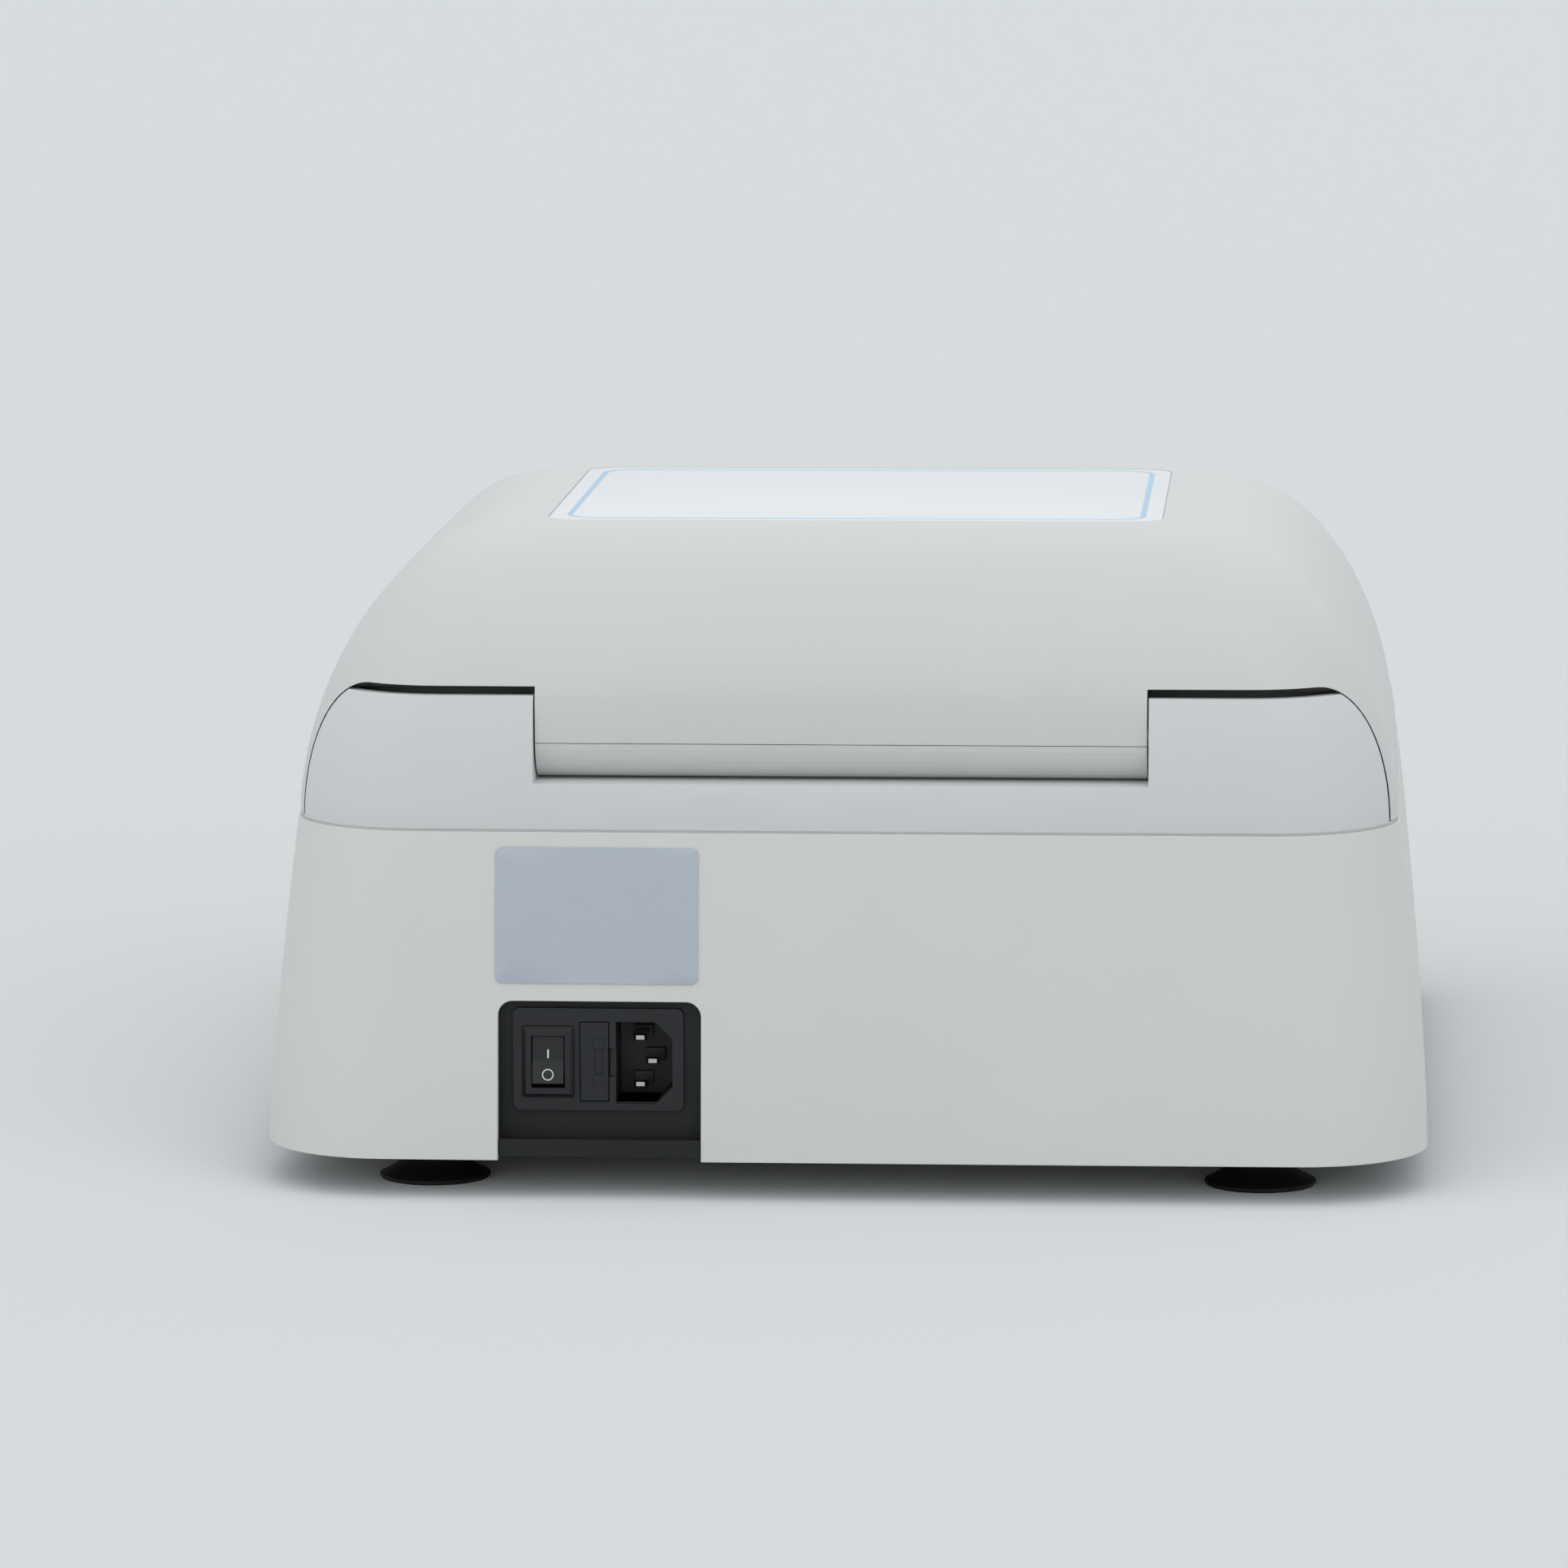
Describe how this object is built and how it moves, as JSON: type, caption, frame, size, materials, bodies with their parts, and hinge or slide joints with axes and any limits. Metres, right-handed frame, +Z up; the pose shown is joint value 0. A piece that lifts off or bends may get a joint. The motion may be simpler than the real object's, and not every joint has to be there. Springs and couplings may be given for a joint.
{
  "type": "microplate shaker",
  "caption": "Heated bench shaker for microplates: tapered base, domed hinged lid over an orbiting platform with plate nests, sloped control panel and rear mains inlet.",
  "frame": {"origin": "centre of the footprint on the table, under the feet", "axes": "+Z up, +Y to the rear wall with the mains inlet and the lid's hinge, -Y to the control panel"},
  "size_m": [0.349, 0.4, 0.1943],
  "materials": {
    "base_plastic": "fine moulded texture, warm light grey",
    "upper_plastic": "fine moulded texture, cool off-white",
    "lid_plastic": "fine moulded texture, off-white",
    "black_coated_sheet": "black powder-coated steel sheet",
    "foot_rubber": "soft moulded rubber",
    "zinc_steel": "zinc plated",
    "silicone": "pale silicone",
    "foam": "closed-cell insulation foam",
    "black_plastic": "black moulded plastic",
    "ground_steel": "ground steel",
    "label_film": "white film, bare",
    "magnet": "nickel plated",
    "anodised_aluminium": "natural anodised",
    "heater_silicone": "red silicone heating mat",
    "cast_aluminium": "as cast, machined seats",
    "weight_iron": "machined iron",
    "belt_rubber": "black belt",
    "motor_paint": "black painted can",
    "bronze": "sintered bronze",
    "overlay_film": "satin film, bare",
    "window_film": "clear window",
    "display": "blank display",
    "circuit_board": "green board",
    "inlet_plastic": "fine-textured black plastic",
    "fuse_glass": "glass tube",
    "plated_brass": "nickel-plated brass",
    "plate_foil": "silver-grey foil, bare",
    "key_plastic": "light grey key"
  },
  "bodies": {
    "root": {"base_housing": "base_plastic", "base_plate": "black_coated_sheet", "suction_feet": "foot_rubber", "foot_nuts": "zinc_steel", "housing_screws": "zinc_steel", "upper_housing": "upper_plastic", "strike_plates": "ground_steel", "chamber_tub": "anodised_aluminium", "heater_mat": "heater_silicone", "temperature_probe": "ground_steel", "drive_frame": "cast_aluminium", "main_bearings": "ground_steel", "crank_bearings": "ground_steel", "drive_belt": "belt_rubber", "drive_motor": "motor_paint", "hinge_shaft": "ground_steel", "control_overlay": "overlay_film", "display_window": "window_film", "display_module": "display", "control_board": "circuit_board", "inlet_panel": "black_coated_sheet", "inlet_module": "inlet_plastic", "inlet_pins": "plated_brass", "rating_plate": "plate_foil", "power_supply": "circuit_board"},
    "lid": {"lid_outer_shell": "lid_plastic", "lid_inner_shell": "upper_plastic", "lid_gasket": "silicone", "lid_foam": "foam", "hinge_cartridge": "black_plastic", "top_label": "label_film", "lid_magnets": "magnet"},
    "drive_spindle": {"spindle": "ground_steel", "counterweight": "weight_iron", "driven_pulley": "anodised_aluminium"},
    "motor_rotor": {"motor_shaft": "ground_steel", "motor_pulley": "anodised_aluminium"},
    "platform": {"platform_plate": "anodised_aluminium", "platform_bearing": "ground_steel", "platform_bushes": "bronze", "plate_guides": "black_plastic", "nest_dividers": "black_plastic", "clip_pins": "ground_steel", "clip_springs": "ground_steel"},
    "crank_1": {"idler_crank_1": "ground_steel"},
    "crank_2": {"idler_crank_2": "ground_steel"},
    "crank_3": {"idler_crank_3": "ground_steel"},
    "crank_4": {"idler_crank_4": "ground_steel"},
    "clip_1": {"plate_clip_1": "black_plastic"},
    "clip_2": {"plate_clip_2": "black_plastic"},
    "clip_3": {"plate_clip_3": "black_plastic"},
    "clip_4": {"plate_clip_4": "black_plastic"},
    "rocker": {"power_rocker": "inlet_plastic"},
    "fuse_tray": {"fuse_drawer": "inlet_plastic", "fuses": "fuse_glass"},
    "key_cap_1": {"key_1": "key_plastic"},
    "key_cap_2": {"key_2": "key_plastic"},
    "key_cap_3": {"key_3": "key_plastic"},
    "key_cap_4": {"key_4": "key_plastic"},
    "key_cap_5": {"key_5": "key_plastic"}
  },
  "joints": [
    {"name": "lid_hinge", "type": "hinge", "parent": "root", "child": "lid", "pos_m": [0, 0.1744, 0.1366], "axis": [-1, 0, 0], "range_deg": [0, 80]},
    {"name": "spindle_turn", "type": "hinge", "parent": "root", "child": "drive_spindle", "pos_m": [0, 0.043, 0.06], "axis": [0, 0, 1], "continuous": true},
    {"name": "motor_turn", "type": "hinge", "parent": "root", "child": "motor_rotor", "pos_m": [-0.085, 0.043, 0.03], "axis": [0, 0, 1], "continuous": true},
    {"name": "platform_turn", "type": "hinge", "parent": "drive_spindle", "child": "platform", "pos_m": [0.0015, 0.043, 0.09], "axis": [0, 0, 1], "continuous": true},
    {"name": "crank_1_turn", "type": "hinge", "parent": "root", "child": "crank_1", "pos_m": [-0.1, -0.015, 0.061], "axis": [0, 0, 1], "continuous": true},
    {"name": "crank_2_turn", "type": "hinge", "parent": "root", "child": "crank_2", "pos_m": [-0.1, 0.101, 0.061], "axis": [0, 0, 1], "continuous": true},
    {"name": "crank_3_turn", "type": "hinge", "parent": "root", "child": "crank_3", "pos_m": [0.1, -0.015, 0.061], "axis": [0, 0, 1], "continuous": true},
    {"name": "crank_4_turn", "type": "hinge", "parent": "root", "child": "crank_4", "pos_m": [0.1, 0.101, 0.061], "axis": [0, 0, 1], "continuous": true},
    {"name": "clip_1_swing", "type": "hinge", "parent": "platform", "child": "clip_1", "pos_m": [-0.1211, -0.0481, 0.1158], "axis": [0, 0, -1], "range_deg": [0, 5], "stiffness_Nm_per_rad": 0.05, "springref_deg": -17.19},
    {"name": "clip_2_swing", "type": "hinge", "parent": "platform", "child": "clip_2", "pos_m": [-0.1211, 0.1341, 0.1158], "axis": [0, 0, 1], "range_deg": [0, 5], "stiffness_Nm_per_rad": 0.05, "springref_deg": -17.19},
    {"name": "clip_3_swing", "type": "hinge", "parent": "platform", "child": "clip_3", "pos_m": [0.1241, -0.0481, 0.1158], "axis": [0, 0, 1], "range_deg": [0, 5], "stiffness_Nm_per_rad": 0.05, "springref_deg": -17.19},
    {"name": "clip_4_swing", "type": "hinge", "parent": "platform", "child": "clip_4", "pos_m": [0.1241, 0.1341, 0.1158], "axis": [0, 0, -1], "range_deg": [0, 5], "stiffness_Nm_per_rad": 0.05, "springref_deg": -17.19},
    {"name": "power_switch", "type": "hinge", "parent": "root", "child": "rocker", "pos_m": [0.0864, 0.1908, 0.0411], "axis": [1, 0, 0], "range_deg": [-16, 0]},
    {"name": "fuse_drawer_slide", "type": "slide", "parent": "root", "child": "fuse_tray", "axis": [0, 1, 0], "range_m": [0, 0.016]},
    {"name": "key_1_press", "type": "slide", "parent": "root", "child": "key_cap_1", "axis": [0, 0.2839, -0.9589], "range_m": [0, 0.001], "stiffness_N_per_m": 500, "springref_m": -0.001},
    {"name": "key_2_press", "type": "slide", "parent": "root", "child": "key_cap_2", "axis": [0, 0.2839, -0.9589], "range_m": [0, 0.001], "stiffness_N_per_m": 500, "springref_m": -0.001},
    {"name": "key_3_press", "type": "slide", "parent": "root", "child": "key_cap_3", "axis": [0, 0.2839, -0.9589], "range_m": [0, 0.001], "stiffness_N_per_m": 500, "springref_m": -0.001},
    {"name": "key_4_press", "type": "slide", "parent": "root", "child": "key_cap_4", "axis": [0, 0.2839, -0.9589], "range_m": [0, 0.001], "stiffness_N_per_m": 500, "springref_m": -0.001},
    {"name": "key_5_press", "type": "slide", "parent": "root", "child": "key_cap_5", "axis": [0, 0.2839, -0.9589], "range_m": [0, 0.001], "stiffness_N_per_m": 500, "springref_m": -0.001}
  ],
  "couplings": [
    {"joint": "motor_turn", "follows": "spindle_turn", "ratio": 3},
    {"joint": "platform_turn", "follows": "spindle_turn", "ratio": -1},
    {"joint": "crank_1_turn", "follows": "spindle_turn", "ratio": 1},
    {"joint": "crank_2_turn", "follows": "spindle_turn", "ratio": 1},
    {"joint": "crank_3_turn", "follows": "spindle_turn", "ratio": 1},
    {"joint": "crank_4_turn", "follows": "spindle_turn", "ratio": 1}
  ]
}
